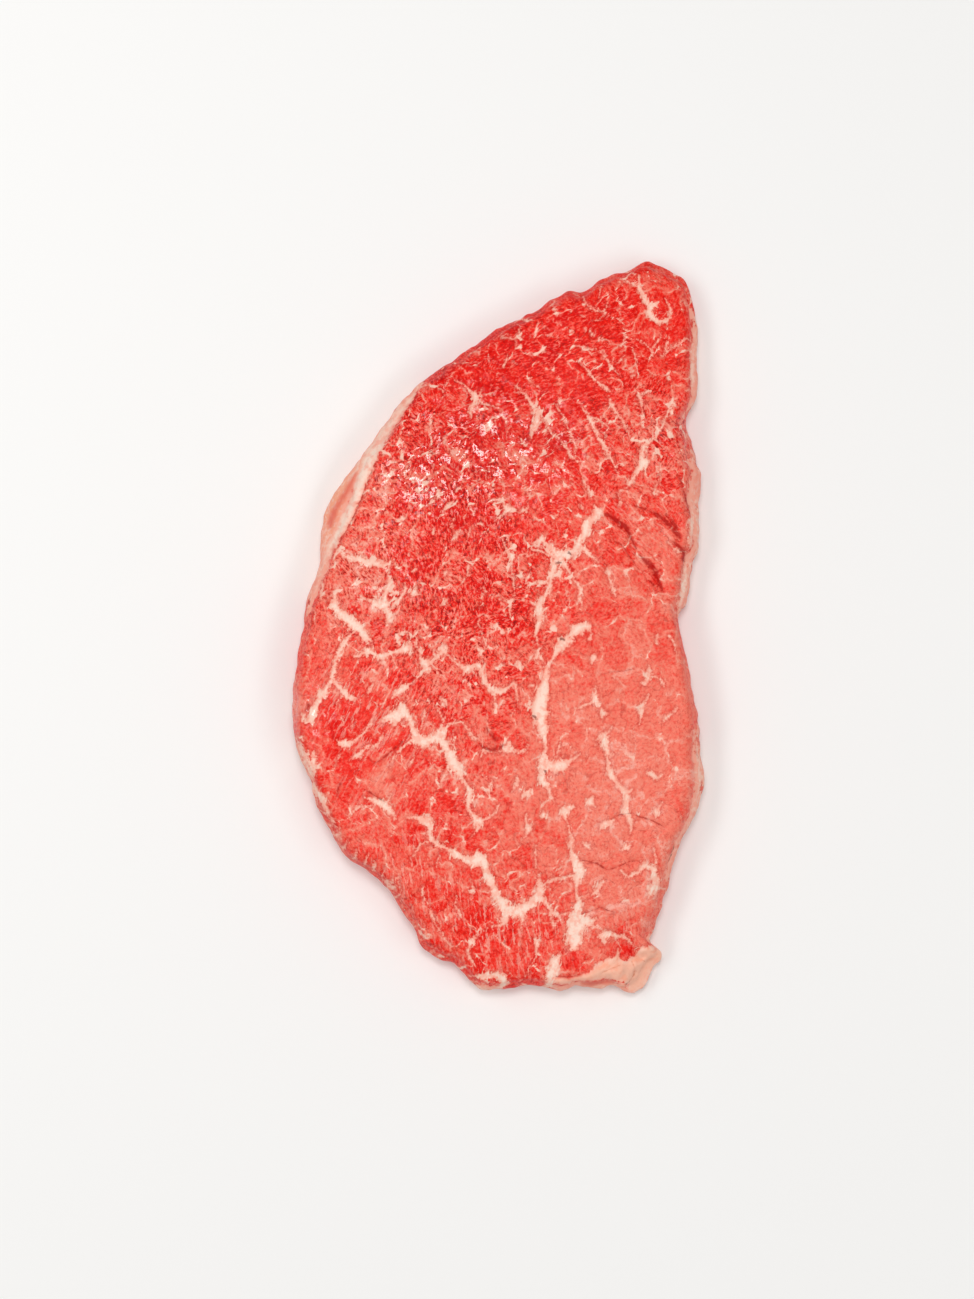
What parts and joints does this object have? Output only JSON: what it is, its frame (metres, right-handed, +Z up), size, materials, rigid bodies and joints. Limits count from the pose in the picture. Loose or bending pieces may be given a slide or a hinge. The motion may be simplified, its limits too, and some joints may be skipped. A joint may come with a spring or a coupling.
{
  "type": "beef topside slice",
  "caption": "Raw slice of beef topside with a tapering tip, a waisted straight side, a leaning fat cap and a fat tag at the foot. Lies flat on its underside.",
  "frame": {"origin": "under the middle of the slice's bounding box, on the plane that the slice lies on", "axes": "+Y along the slice to its narrow tip, +X to its straighter side, +Z up from the resting face to the cut face that shows"},
  "size_m": [0.1228, 0.2183, 0.0219],
  "materials": {
    "marbled_beef": "moist raw lean, bright red, with pale pink and cream seams of fat"
  },
  "bodies": {
    "root": {"topside_slice": "marbled_beef"}
  },
  "joints": []
}
